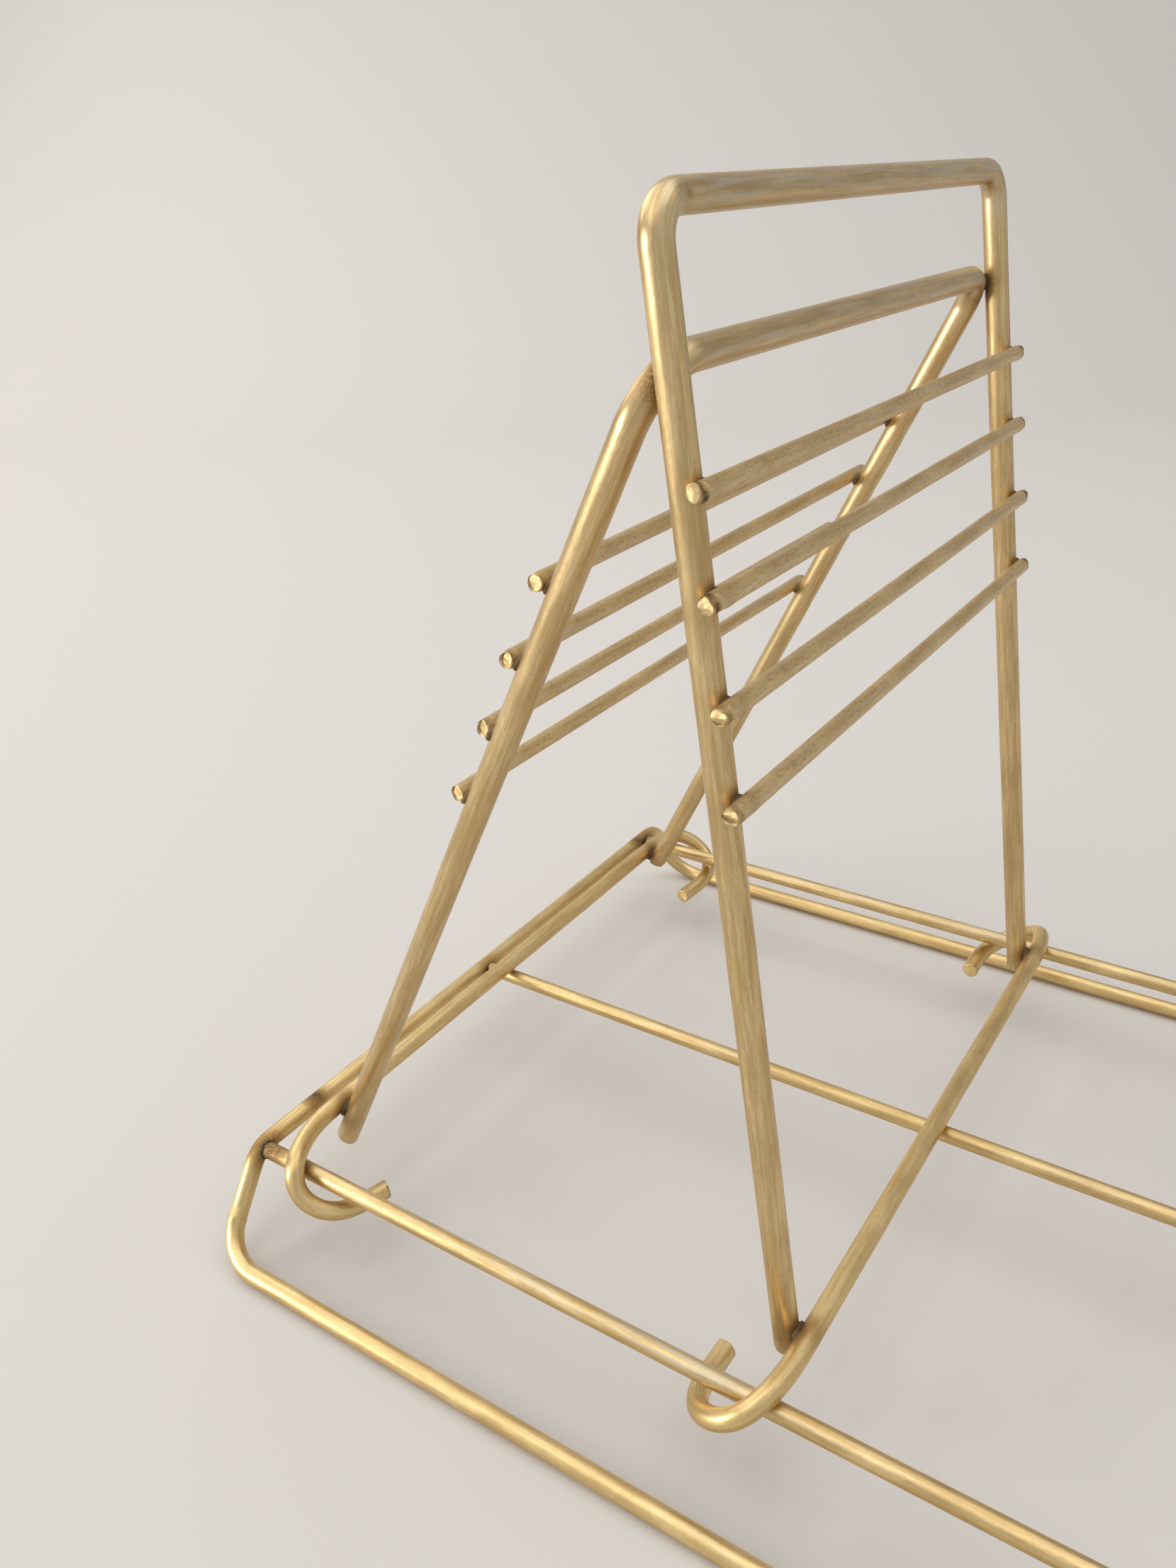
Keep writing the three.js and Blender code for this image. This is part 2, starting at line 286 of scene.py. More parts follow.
def hoop_lean(hoop):
    """The x of the hoop's legs at runner height, and their lean from upright."""
    runner_x = RUNNERS[hoop["runner"]]["x"]
    apart = hoop["side"] * (RUNNER_R + HOOP_R + WELD_GAP)
    foot_x = runner_x + apart
    rise = hoop["top_z"] - RUNNER_Z
    # the lean and the foot depend on each other, so they are settled in turns
    for _ in range(8):
        foot_x = runner_x + apart / math.cos(math.atan2(hoop["top_x"] - foot_x, rise))
    return foot_x, math.atan2(hoop["top_x"] - foot_x, rise)


def hoop_line(hoop, foot_x):
    legs = []
    for foot_y, top_y, drop in zip(hoop["foot_y"], hoop["top_y"], hoop["drop"]):
        foot = vec(foot_x, foot_y, RUNNER_Z)
        top = vec(hoop["top_x"], top_y, hoop["top_z"])
        legs.append((foot - unit(top - foot) * drop, top))
    (front_foot, front_top), (rear_foot, rear_top) = legs
    corners = [front_foot, front_top, rear_top, rear_foot]
    return rounded(corners, [0, *hoop["bend"], 0], turn=math.radians(4), run=1.6)


def bar_line(bar, foot_x, lean, side):
    out = side * (HOOP_R + BAR_R + WELD_GAP)
    z_front, z_rear, y_front, y_rear = bar

    def end(y, z):
        x = foot_x + (z - RUNNER_Z) * math.tan(lean) + out * math.cos(lean)
        return vec(x, y, z - out * math.sin(lean))

    return even(np.array([end(y_front, z_front), end(y_rear, z_rear)]), 0.8)


def bar_stations(line, lift):
    """The bar's line with close stations near its ends, its first tip raised by lift."""
    length = np.linalg.norm(line[-1] - line[0])
    reach = 6.5
    close = np.arange(0, reach, 0.2)
    middle = np.linspace(reach, length - reach, int((length - 2 * reach) / 0.8))
    stops = np.concatenate([close, middle, length - close[::-1]])
    stops = np.unique(np.round(stops, 5))
    raised = Z_AXIS * lift * np.exp(-((stops / 0.9) ** 2))[:, None]
    return line[0] + (line[-1] - line[0]) * (stops / length)[:, None] + raised


# ---------------------------------------------------------------- sweeping a wire
def carried(normal, before, after):
    """The normal, turned by the rotation that takes one direction to the next."""
    axis = np.cross(before, after)
    cosine = float(before @ after)
    return normal * cosine + np.cross(axis, normal) + axis * (axis @ normal) / (1 + cosine)


def make_path(line, up, closed):
    if closed:
        along = np.roll(line, -1, 0) - np.roll(line, 1, 0)
    else:
        ends = line[1] - line[0], line[-1] - line[-2]
        along = np.vstack([ends[:1], line[2:] - line[:-2], ends[1:]])
    along /= np.linalg.norm(along, axis=1)[:, None]
    normal = np.zeros_like(line)
    normal[0] = unit(up - along[0] * (up @ along[0]))
    for i in range(1, len(line)):
        moved = carried(normal[i - 1], along[i - 1], along[i])
        normal[i] = unit(moved - along[i] * (moved @ along[i]))
    if closed:
        # the closing twist, shared out along the loop
        last = unit(carried(normal[-1], along[-1], along[0]))
        sine = float(np.cross(last, normal[0]) @ along[0])
        twist = math.atan2(sine, float(last @ normal[0]))
        for i in range(len(line)):
            part = twist * i / len(line)
            aside = np.cross(along[i], normal[i])
            normal[i] = normal[i] * math.cos(part) + aside * math.sin(part)
    return Path(line, along, normal, np.cross(along, normal), arclength(line))


def unevenness(run, closed, seed):
    """A drawn wire is never quite even."""
    if closed:
        return 0.012 * np.sin(run / run[-1] * 2 * math.pi * 9 + seed)
    swell = [noise.noise(Vector((x / 14, seed * 7.31, seed * 1.7))) for x in run]
    return np.array(swell) * 0.016 - 0.018  # never over size


def bend_change(path, radial, radius, closed):
    """Tight bends flatten the wire a little, on the outside of the bend most."""
    points, along = path.points, path.along
    if closed:
        turn = np.roll(along, -1, 0) - np.roll(along, 1, 0)
        step = np.linalg.norm(np.roll(points, -1, 0) - np.roll(points, 1, 0), axis=1)
    else:
        turn = np.zeros_like(points)
        turn[1:-1] = along[2:] - along[:-2]
        step = np.ones(len(points))
        step[1:-1] = np.linalg.norm(points[2:] - points[:-2], axis=1)
    curve = turn / step[:, None]
    sharp = np.linalg.norm(curve, axis=1)
    smooth = sharp
    if not closed:
        kernel = np.array([1, 2, 3, 2, 1.0]) / 9
        smooth = np.convolve(np.pad(sharp, 2, "edge"), kernel, "valid")
    inward = np.where(smooth[:, None] > 1e-5, curve / np.maximum(sharp, 1e-5)[:, None], 0)
    side = np.einsum("nsk,nk->ns", radial, inward)
    squeeze = np.minimum(smooth * radius, 0.6)[:, None]
    swell = 0.021 * (1 - side**2)
    outside = 0.055 * np.clip(-side, 0, 1) ** 2
    inside = 0.02 * np.clip(side, 0, 1) ** 2
    return radius * squeeze * (swell - outside - inside)


def press_flat(radii, distance, radial, radius, flat):
    weight = 1 / (1 + np.exp((distance - flat.half_length) / 0.28))  # 0.28: the print's soft edge
    facing = radial @ unit(flat.facing)
    level = radius - flat.depth
    limited = np.minimum(radii, level / np.maximum(facing, 1e-3))
    pressed = np.where(facing > level / radius, limited, radii)
    bulge = flat.depth * 0.5 * np.exp(-(((facing - 0.35) / 0.3) ** 2))
    return radii + weight[:, None] * (pressed - radii + bulge)


def pinch_end(radii, angles, from_end, amount, seed):
    """Squeezes the last 1.3 mm of an end into uneven lobes."""
    weight = np.clip(1 - from_end / 1.3, 0, 1)
    weight = weight * weight * (3 - 2 * weight)
    lobes = 1 + 0.55 * np.cos(2 * angles + seed) + 0.45 * np.cos(3 * angles + 2.3 * seed)
    return radii * (1 - weight[:, None] * amount * lobes[None, :])


def sweep(name, line, radius, seed, wear, up=Z_AXIS, sides=36, closed=False, dents=(), flats=(),
          collars=(), cuts=(Cut(0.0, 0.12, 0.10, 0.0, 0.0),) * 2, heat=(), pinch=(0, 0)):
    """A wire along line. wear: a function of the points and the directions they face.
    pinch: how far each end is squeezed by the shears, as a share of the radius."""
    path = make_path(line, up, closed)
    run = path.run
    count = len(line)
    angles = np.arange(sides) / sides * 2 * math.pi
    cosine, sine = np.cos(angles), np.sin(angles)
    radial = path.normal[:, None] * cosine[:, None] + path.across[:, None] * sine[:, None]

    def distance(mark):
        return np.linalg.norm(line - mark.place, axis=1)

    radii = np.full((count, sides), radius) + unevenness(run, closed, seed)[:, None]
    radii += bend_change(path, radial, radius, closed)
    for dent in dents:
        weight = np.exp(-((distance(dent) / dent.reach) ** 2))
        face = np.clip(radial @ unit(dent.facing), 0, 1) ** 3
        radii -= dent.depth * weight[:, None] * face
    for flat in flats:
        radii = press_flat(radii, distance(flat), radial, radius, flat)
    for collar in collars:
        weight = np.exp(-((distance(collar) / collar.half_width) ** 2))
        ragged = 0.8 + 0.35 * np.sin(angles * 2 + seed) + 0.2 * np.sin(angles * 5 + 2 * seed)
        radii += collar.height * weight[:, None] * ragged
    if any(pinch):
        radii = pinch_end(radii, angles, run, pinch[0], seed)
        radii = pinch_end(radii, angles, run[-1] - run, pinch[1], seed + 3)

    shape = (count, sides)
    flat_wire = [np.broadcast_to(part, shape) for part in (radius * cosine, radius * sine)]
    wire = np.stack([*flat_wire, np.broadcast_to(run[:, None], shape)], -1)
    skin = dict(
        spot=(line[:, None] + radial * radii[:, :, None]).reshape(-1, 3),
        wire=wire.reshape(-1, 3),
        grain=np.repeat(path.along, sides, axis=0),
        facing=radial.reshape(-1, 3),
        cutness=np.zeros(count * sides),
    )
    ring = np.arange(count if closed else count - 1)[:, None]
    here, beyond = ring * sides, (ring + 1) % count * sides
    side = np.arange(sides)
    next_side = (side + 1) % sides
    quads = [here + side, here + next_side, beyond + next_side, beyond + side]
    faces = np.stack(quads, -1).reshape(-1, 4).tolist()
    if not closed:
        close_end(skin, faces, path, radii, 0, cuts[0], seed)
        close_end(skin, faces, path, radii, count - 1, cuts[1], seed + 5)

    spots = skin["spot"]
    # darkening marks: heat colour at the welds, and painted shadow and painted shade
    scorch = np.zeros(len(spots))
    for mark in heat:
        away = np.linalg.norm(spots - mark.place, axis=1)
        scorch = np.maximum(scorch, mark.strength * np.exp(-((away / mark.reach) ** 2)))
    return mesh_object(name, spots, faces, wire=skin["wire"], grain=skin["grain"], scorch=scorch,
                       worn=wear(spots, skin["facing"]), cutness=skin["cutness"])


# Rings of a sheared end, from the rim inwards: share of the radius, height against the cut face,
# and how far it counts as cut metal. The first four make a small round at the rim.
CAP_RINGS = (
    (1.0, -0.16, 0.0), (0.985, -0.072, 0.25), (0.945, -0.0192, 0.7), (0.89, 0.0, 1.0),
    (0.74, 0.0, 1.0), (0.58, 0.0, 1.0), (0.42, 0.0, 1.0), (0.26, 0.0, 1.0), (0.12, 0.0, 1.0),
)


def close_end(skin, faces, path, radii, station, cut, seed):
    """Closes an end with a sheared face, added to skin and faces."""
    outward = -1 if station == 0 else 1
    sides = radii.shape[1]
    first = station * sides
    radius = float(radii[station].mean())
    angles = np.arange(sides) / sides * 2 * math.pi
    centre, along, normal, across, run = (column[station] for column in path)

    def height(x, y):
        ridge = (y * math.cos(cut.tilt) - x * math.sin(cut.tilt)) / radius - cut.offset
        slope = cut.plus_slope if ridge > 0 else cut.minus_slope
        rough = 0.07 * noise.noise(Vector((x * 1.9 + seed, y * 1.9, seed * 3.1)))
        rough += 0.16 * noise.noise(Vector((x * 0.7, y * 0.7 + seed, seed * 1.3)))
        return cut.slant * x - slope * math.sqrt(ridge * ridge + 0.004) * radius + rough

    top = max(
        height(math.cos(angle) * radius * share, math.sin(angle) * radius * share)
        for angle in angles
        for share in (0, 0.5, 1)
    )
    added = {key: [] for key in skin}

    def add(**values):
        for key, value in values.items():
            added[key].append(value)

    for share, level, cutness in CAP_RINGS:
        for angle, reach in zip(angles, radii[station] * share):
            x, y = math.cos(angle) * reach, math.sin(angle) * reach
            out = (height(x, y) - top + level) * outward
            side = normal * math.cos(angle) + across * math.sin(angle)
            add(
                spot=centre + normal * x + across * y + along * out,
                wire=(x, y, run + out),
                grain=along,
                facing=unit(side * (1 - cutness) + along * outward * cutness + 1e-6),
                cutness=cutness,
            )
    add(spot=centre + along * (height(0, 0) - top) * outward, wire=(0, 0, run), grain=along,
        facing=along * outward, cutness=1.0)

    # the sweep's own last ring moves to the cap's first one; the others are new
    skin["spot"][first : first + sides] = added["spot"][:sides]
    start = len(skin["spot"])
    for key, values in added.items():
        skin[key] = np.concatenate([skin[key], values[sides:]])
    rings = [first] + [start + k * sides for k in range(len(CAP_RINGS) - 1)]
    middle = start + (len(CAP_RINGS) - 1) * sides
    for outer, inner in zip(rings[:-1], rings[1:]):
        for k in range(sides):
            k1 = (k + 1) % sides
            faces.append([outer + k, outer + k1, inner + k1, inner + k][::outward])
    for k in range(sides):
        faces.append([rings[-1] + k, rings[-1] + (k + 1) % sides, middle][::outward])


def mesh_object(name, spots, faces, **marks):
    """A smooth mesh; each mark becomes a point attribute."""
    mesh = bpy.data.meshes.new(name)
    mesh.from_pydata((spots * MM).tolist(), [], faces)
    mesh.validate()
    for key, values in marks.items():
        kind, field = ("FLOAT_VECTOR", "vector") if values.ndim == 2 else ("FLOAT", "value")
        attribute = mesh.attributes.new(key, kind, "POINT")
        attribute.data.foreach_set(field, values.astype(np.float32).ravel())
    mesh.polygons.foreach_set("use_smooth", [True] * len(mesh.polygons))
    mesh.update()
    return link_object(name, mesh)


def link_object(name, data):
    made = bpy.data.objects.new(name, data)
    bpy.context.scene.collection.objects.link(made)
    return made


# ---------------------------------------------------------------- materials
class Shader:
    """A material's node tree, with a short call for each kind of node."""

    def __init__(self, name):
        self.material = bpy.data.materials.new(name)
        self.material.use_nodes = True
        self.tree = self.material.node_tree
        self.tree.nodes.clear()

    def node(self, kind, inputs, **settings):
        made = self.tree.nodes.new(kind)
        for key, value in settings.items():
            setattr(made, key, value)
        for key, value in inputs.items():
            socket = made.inputs[key]
            if isinstance(value, bpy.types.NodeSocket):
                self.tree.links.new(value, socket)
            elif socket.type == "RGBA":
                socket.default_value = (*value, 1.0)
            else:
                socket.default_value = value
        return made

    def attribute(self, name, output="Fac"):
        return self.node("ShaderNodeAttribute", {}, attribute_name=name).outputs[output]

    def ramp(self, value, start, end, low=0.0, high=1.0):
        inputs = {"Value": value, "From Min": start, "From Max": end, "To Min": low, "To Max": high}
        made = self.node("ShaderNodeMapRange", inputs, interpolation_type="SMOOTHSTEP")
        return made.outputs["Result"]

    def maths(self, operation, first, second, clamp=False):
        inputs = {0: first, 1: second}
        return self.node("ShaderNodeMath", inputs, operation=operation, use_clamp=clamp).outputs[0]

    def times(self, first, second, clamp=False):
        return self.maths("MULTIPLY", first, second, clamp)

    def plus(self, first, second, clamp=False):
        return self.maths("ADD", first, second, clamp)

    def rest(self, value):
        return self.maths("SUBTRACT", 1.0, value)

    def mix(self, share, below, above):
        inputs = {0: share, 6: below, 7: above}
        return self.node("ShaderNodeMix", inputs, data_type="RGBA").outputs[2]


# Noise layers: stretch across and along the wire, shift, then scale, detail and roughness.
NOISE_LAYERS = {
    "fine": (1.0, 0.022, 0.0, 5.5, 5.0, 0.7),
    "band": (1.0, 0.06, 5.0, 1.6, 3.0, 0.55),
    "blotch": (1.0, 0.55, 13.0, 2.1, 3.0, 0.6),
    "broad": (1.0, 0.05, 3.0, 1.3, 3.0, 0.5),
    "cloud": (0.35, 0.16, 7.0, 0.7, 4.0, 0.6),
    "speck": (1.0, 0.8, 11.0, 4.2, 4.0, 0.75),
    "grit": (1.0, 1.0, 17.0, 9.0, 3.0, 0.6),
    "uneven": (1.0, 0.5, 19.0, 1.25, 2.0, 0.5),
}
GREY = (0.60, 0.565, 0.48)  # rubbed metal, and painted reflection of a grey room on the tops of the base wires
SOOT = (0.055, 0.045, 0.035)


def brass(name, light, deep, roughness, pits, streaks, wear, seed, blotches):
    """Drawn, lacquered brass: drawing streaks, tarnish, pits, grey rubbed patches, heat marks, with
    painted shade on the undersides, painted shadow among the heat marks and a painted reflection
    among the grey patches.

    light and deep are the ends of the cloudy colour, roughness is (low, high), seed shifts the
    noise, and the others are the strengths of their marks."""
    shader = Shader(name)
    ramp, times, plus, mix, rest = shader.ramp, shader.times, shader.plus, shader.mix, shader.rest
    wire = shader.attribute("wire", "Vector")
    grain = shader.attribute("grain", "Vector")
    # heat also carries painted shadow and shade; rubbed also carries a painted reflection on the
    # base wires' tops
    heat, rubbed, cut = (shader.attribute(key) for key in ("scorch", "worn", "cutness"))

    layers = {}
    for key, (across, along, shift, scale, detail, harsh) in NOISE_LAYERS.items():
        mapping = shader.node("ShaderNodeMapping", {
            "Vector": wire,
            "Scale": (across, across, along),
            "Location": (shift + seed, shift * 0.7, seed * 3.0),
        })
        texture = shader.node("ShaderNodeTexNoise", {
            "Vector": mapping.outputs[0], "Scale": scale, "Detail": detail, "Roughness": harsh,
        })
        layers[key] = texture.outputs[0]
    fine, band, broad = layers["fine"], layers["band"], layers["broad"]
    cloud, speck = layers["cloud"], layers["speck"]

    # the metal's own colour, cloudy along the wire
    colour = mix(ramp(cloud, 0.32, 0.68), deep, light)
    # drawing streaks
    streak = ramp(fine, 0.36, 0.66)
    colour = mix(times(rest(streak), 0.34 * streaks), colour, np.multiply(deep, 0.55))
    # wider ones, where the lacquer has thinned along the wire
    wide = times(rest(ramp(band, 0.40, 0.60)), 0.55 * streaks)
    colour = mix(wide, colour, np.multiply(deep, (0.62, 0.56, 0.48)))
    # blotches of tarnish
    blotch = times(ramp(layers["blotch"], 0.50, 0.66), blotches, clamp=True)
    colour = mix(blotch, colour, np.multiply(deep, (0.50, 0.45, 0.38)))
    # grey rubbed patches, in streaks; on the base wires' tops they are also a painted reflection of
    # a grey room above
    patch = times(ramp(broad, 0.36, 0.62), ramp(fine, 0.25, 0.6))
    patch = times(patch, ramp(band, 0.34, 0.56, low=0.35))
    grey_wear_and_sheen = times(patch, plus(times(rubbed, wear), 0.03), clamp=True)
    colour = mix(grey_wear_and_sheen, colour, GREY)
    # small dark pits, more of them where the wire is rubbed
    pit = times(ramp(speck, 0.60, 0.72), plus(times(rubbed, 0.25), pits), clamp=True)
    colour = mix(pit, colour, np.multiply(deep, 0.32))
    # down-facing sides darker: painted shade and painted brown reflection
    normal = shader.node("ShaderNodeNewGeometry", {}).outputs["Normal"]
    height = shader.node("ShaderNodeSeparateXYZ", {0: normal}).outputs[2]
    underside_shade = ramp(height, 0.15, -0.85, high=0.42)
    colour = mix(underside_shade, colour, np.multiply(deep, (0.62, 0.50, 0.36)))
    # heat colour round the welds, black at its strongest; the same marks paint the hook's shadow on
    # the front rail and the shade in the tall hoop's nick
    burnt_and_shaded = times(heat, ramp(speck, 0.30, 0.62, low=0.55, high=1.15), clamp=True)
    colour = mix(ramp(burnt_and_shaded, 0.0, 0.5), colour, np.multiply(deep, (0.52, 0.44, 0.34)))
    colour = mix(ramp(burnt_and_shaded, 0.45, 0.95), colour, SOOT)
    # sheared ends show brighter, fresher metal
    fresh = times(cut, ramp(speck, 0.56, 0.66, low=0.8, high=0.15))
    colour = mix(fresh, colour, np.multiply(light, (0.98, 0.97, 0.94)))

    low, high = roughness
    rough = plus(times(ramp(cloud, 0.3, 0.7), (high - low) * 0.6), low)
    rough = plus(rough, times(rest(streak), 0.10))
    rough = plus(rough, times(grey_wear_and_sheen, 0.12))
    rough = plus(rough, times(cut, 0.08))
    rough = plus(rough, times(burnt_and_shaded, 0.35), clamp=True)

    # relief: a gentle unevenness, drawing lines, pits, grit
    relief = {}
    for layer, strength, depth, invert in (
        (layers["uneven"], 0.5, 0.00006, False),
        (fine, 0.35, 0.00003, False),
        (pit, 0.6, 0.00005, True),
        (layers["grit"], 0.12, 0.00003, False),
    ):
        inputs = {"Height": layer, "Strength": strength, "Distance": depth, **relief}
        relief = {"Normal": shader.node("ShaderNodeBump", inputs, invert=invert).outputs[0]}

    surface = shader.node("ShaderNodeBsdfPrincipled", {
        "Base Color": colour,
        "Roughness": rough,
        "Metallic": rest(times(burnt_and_shaded, 0.45)),
        "Anisotropic": 0.45,
        "Anisotropic Rotation": 0.25,
        "Tangent": grain,
        **relief,
    })
    shader.node("ShaderNodeOutputMaterial", {0: surface.outputs[0]})
    return shader.material


GOLDEN = dict(light=(0.86, 0.66, 0.325), deep=(0.75, 0.54, 0.24))
PALE = dict(light=(0.84, 0.655, 0.355), deep=(0.73, 0.54, 0.27))
DULL = dict(light=(0.48, 0.39, 0.26), deep=(0.32, 0.25, 0.165))
FINISHES = {
    "frame": dict(**GOLDEN, roughness=(0.28, 0.40), pits=0.10, streaks=0.5, wear=0.5,
                  seed=1.0, blotches=0.10),
    "rail": dict(**GOLDEN, roughness=(0.27, 0.38), pits=0.12, streaks=0.8, wear=0.9,
                 seed=2.0, blotches=0.15),
    "runner": dict(**GOLDEN, roughness=(0.29, 0.42), pits=0.14, streaks=0.6, wear=0.5,
                   seed=3.0, blotches=0.15),
    "hoop": dict(**PALE, roughness=(0.26, 0.38), pits=0.14, streaks=0.85, wear=1.0,
                 seed=4.0, blotches=0.18),
    "bar": dict(**PALE, roughness=(0.34, 0.50), pits=0.26, streaks=0.5, wear=0.7,
                seed=5.0, blotches=0.40),
    "weld": dict(**DULL, roughness=(0.42, 0.60), pits=0.45, streaks=0.2, wear=0.3,
                 seed=6.0, blotches=0.4),
}
MATERIALS = {kind: brass("brass_" + kind, **finish) for kind, finish in FINISHES.items()}


def dress_wire(piece, kind, body, replaced):
    piece.data.materials.append(MATERIALS[kind])
    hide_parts(replaced)
    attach(piece, body)


def cloudy(points, scale, shift):
    """Smooth noise at each point."""
    return np.array([noise.noise(Vector(point)) for point in points / scale + shift])


# ---------------------------------------------------------------- weld metal
def lump_mesh(lump):
    """The points, faces and unscaled points of one lump."""
    ball = bmesh.new()
    bmesh.ops.create_icosphere(ball, subdivisions=3, radius=1.0)
    points = np.array([vert.co[:] for vert in ball.verts])
    faces = [[vert.index for vert in face.verts] for face in ball.faces]
    ball.free()
    seed = lump.seed
    broad = cloudy(points, 1 / 1.3, (seed * 3.7, seed, 0))
    fine = cloudy(points, 1 / 3.4, (0, seed * 2.1, seed))
    rough = points * (1 + 0.16 * broad + 0.07 * fine)[:, None]
    across = unit(lump.across)
    along = unit(lump.along - across * (lump.along @ across))
    axes = np.array([across, along, np.cross(across, along)])
    return lump.centre + (rough * lump.size) @ axes, faces, rough


def weld_object(name, lumps, body):
    spots, faces, wire, heat = [], [], [], []
    base = 0
    for lump in lumps:
        points, lump_faces, rough = lump_mesh(lump)
        spots.append(points)
        wire.append(rough * 1.3 + lump.seed)
        faces += [[i + base for i in face] for face in lump_faces]
        heat.append(np.full(len(points), lump.heat))
        base += len(points)
    piece = mesh_object(name, np.vstack(spots), faces, wire=np.vstack(wire),
                        grain=np.tile(Y_AXIS, (base, 1)), scorch=np.concatenate(heat),
                        worn=np.zeros(base), cutness=np.zeros(base))
    piece.data.materials.append(MATERIALS["weld"])
    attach(piece, body)


# ---------------------------------------------------------------- base
# name, CAD piece, y, z, radius, seed, weld heat, how far the weld stands out, grey top band (wear
# and painted reflection)
RAILS = (
    ("front", "front_slide_rail", -RAIL_Y, DECK_Z, RAIL_R, 2, 0.85, 0.24, 0.9),
    ("rear", "rear_slide_rail", RAIL_Y, DECK_Z, RAIL_R, 3, 0.85, 0.24, 0.9),
    ("centre", "centre_rail", 0.0, CENTRE_Z, CENTRE_R, 4, 0.55, 0.06, 0.5),
)
LOOP_JOINT = vec(-197.1, -73.8, 6.6)  # where the loop's ends are butt-welded, front left leg
# Painted shadow of the left stand's hook on the front rail, on both sides of where the hook crosses
# it, laid on as heat colour.
RAIL_HOOK_SHADOWS = [
    Heat(vec(-194.2, -RAIL_Y - 0.6, DECK_Z + 1.0), strength=0.75, reach=3.0),
    Heat(vec(-186.6, -RAIL_Y - 0.8, DECK_Z + 0.6), strength=0.6, reach=1.7),
]
# Marks on the loop: its joint, the right rear leg, two on the left end bar, two on the right.
LOOP_MARKS = [
    Heat(LOOP_JOINT, strength=0.35, reach=1.6),
    Heat(vec(197.2, 75.7, 7.5), strength=0.2, reach=1.6),
    Heat(vec(-HALF_LENGTH, -51.5, DECK_Z + 1.5), strength=0.95, reach=2.2),
    Heat(vec(-HALF_LENGTH + 0.6, 62.0, DECK_Z + 1.4), strength=0.8, reach=2.2),
    Heat(vec(HALF_LENGTH, 51.5, DECK_Z + 1.5), strength=0.7, reach=2.0),
    Heat(vec(HALF_LENGTH, -60.0, DECK_Z + 1.2), strength=0.5, reach=2.0),
]
# Shallow dents on the front floor bar, left of the middle.
LOOP_DENTS = [
    Dent(vec(-150, -FLOOR_Y, FRAME_R), facing=vec(0, -1, 1), depth=0.05, reach=4.0),
    Dent(vec(-60, -FLOOR_Y, FRAME_R), facing=vec(0, -1, 1), depth=0.04, reach=6.0),
]


def loop_line():
    floor_x = HALF_LENGTH - LEG_LEAN
    corners = [
        vec(-floor_x, -FLOOR_Y, FRAME_R),
        vec(floor_x, -FLOOR_Y, FRAME_R),
        vec(HALF_LENGTH, END_BAR_FRONT, DECK_Z),
        vec(HALF_LENGTH, END_BAR_REAR, DECK_Z),
        vec(floor_x, FLOOR_Y, FRAME_R),
        vec(-floor_x, FLOOR_Y, FRAME_R),
        vec(-HALF_LENGTH, END_BAR_REAR, DECK_Z),
        vec(-HALF_LENGTH, END_BAR_FRONT, DECK_Z),
    ]
    bends = [CORNER_BEND, CORNER_BEND, SHOULDER_BEND, SHOULDER_BEND] * 2
    return rounded(corners, bends, turn=math.radians(5), run=2.0, closed=True)


def base_top_wear_and_sheen(strength, seed):
    """A grey band on top of a wire: rubbed wear and a painted reflection of the grey room above."""

    def wear(points, facing):
        top = np.clip((facing[:, 2] - 0.1) / 0.7, 0, 1)
        patches = cloudy(points, (38, 38, 30), (seed, 0, 0))
        return np.clip(strength * top * (0.65 + 0.9 * patches), 0, 1)

    return wear


def make_base():
    reach = HALF_LENGTH - FRAME_R
    # heat starts with the painted shadow of the hook on the front rail
    lumps, heat = [], list(RAIL_HOOK_SHADOWS)
    for _, _, y, z, radius, _, strength, grow, _ in RAILS:
        for side in (-1, 1):
            centre = vec(side * (reach - 0.25), y, z)
            heat.append(Heat(centre, strength, reach=3.4))
            heat.append(Heat(centre - X_AXIS * side * 0.8, 1.1 * strength, reach=2.6))
            size = (0.55, radius + grow, radius + grow / 2)
            lumps.append(Lump(40 + len(lumps), centre, X_AXIS, Y_AXIS, size, heat=1.0))

    loop = sweep("base_loop_wire", loop_line(), FRAME_R, seed=1, wear=base_top_wear_and_sheen(0.35, 2.0),
                 closed=True, dents=LOOP_DENTS, heat=heat + LOOP_MARKS,
                 collars=[Collar(LOOP_JOINT, height=0.22, half_width=0.42)])
    dress_wire(loop, "frame", "base", "base_frame_loop")
    end_x = reach - WELD_GAP
    for name, cad_name, y, z, radius, seed, _, _, strength in RAILS:
        line = even(np.array([vec(-end_x, y, z), vec(end_x, y, z)]), 1.8)
        rail = sweep(name + "_rail_wire", line, radius, seed=seed, heat=heat,
                     wear=base_top_wear_and_sheen(strength, seed))
        dress_wire(rail, "rail", "base", cad_name)
    weld_object("base_weld_metal", lumps, "base")


# ---------------------------------------------------------------- stands
class Wire:
    """A stand's wire, the marks that its welds and shearing leave on it, and painted shade."""

    def __init__(self, line, radius):
        self.line = line
        self.radius = radius
        self.close_line = even(line, 0.3)
        self.flats, self.heat, self.dents = [], [], []


def touch(first, second, end):
    """Where two wires come nearest on the -y or +y side (end is -1 or 1): the point on each
    centreline, the point of contact, and the direction from the first to the second."""
    ours, theirs = (wire.close_line[wire.close_line[:, 1] * end > 0] for wire in (first, second))
    gaps = np.linalg.norm(ours[:, None, :] - theirs[None, :, :], axis=2)
    i, j = np.unravel_index(np.argmin(gaps), gaps.shape)
    start, stop = ours[i], theirs[j]
    across = unit(stop - start)
    contact = (start + across * first.radius + stop - across * second.radius) / 2
    return start, stop, contact, across


def jitter(seed, low, high):
    """A repeatable value between low and high."""
    return low + (high - low) * (0.5 + 0.5 * math.sin(seed * 12.9898 + 4.1))


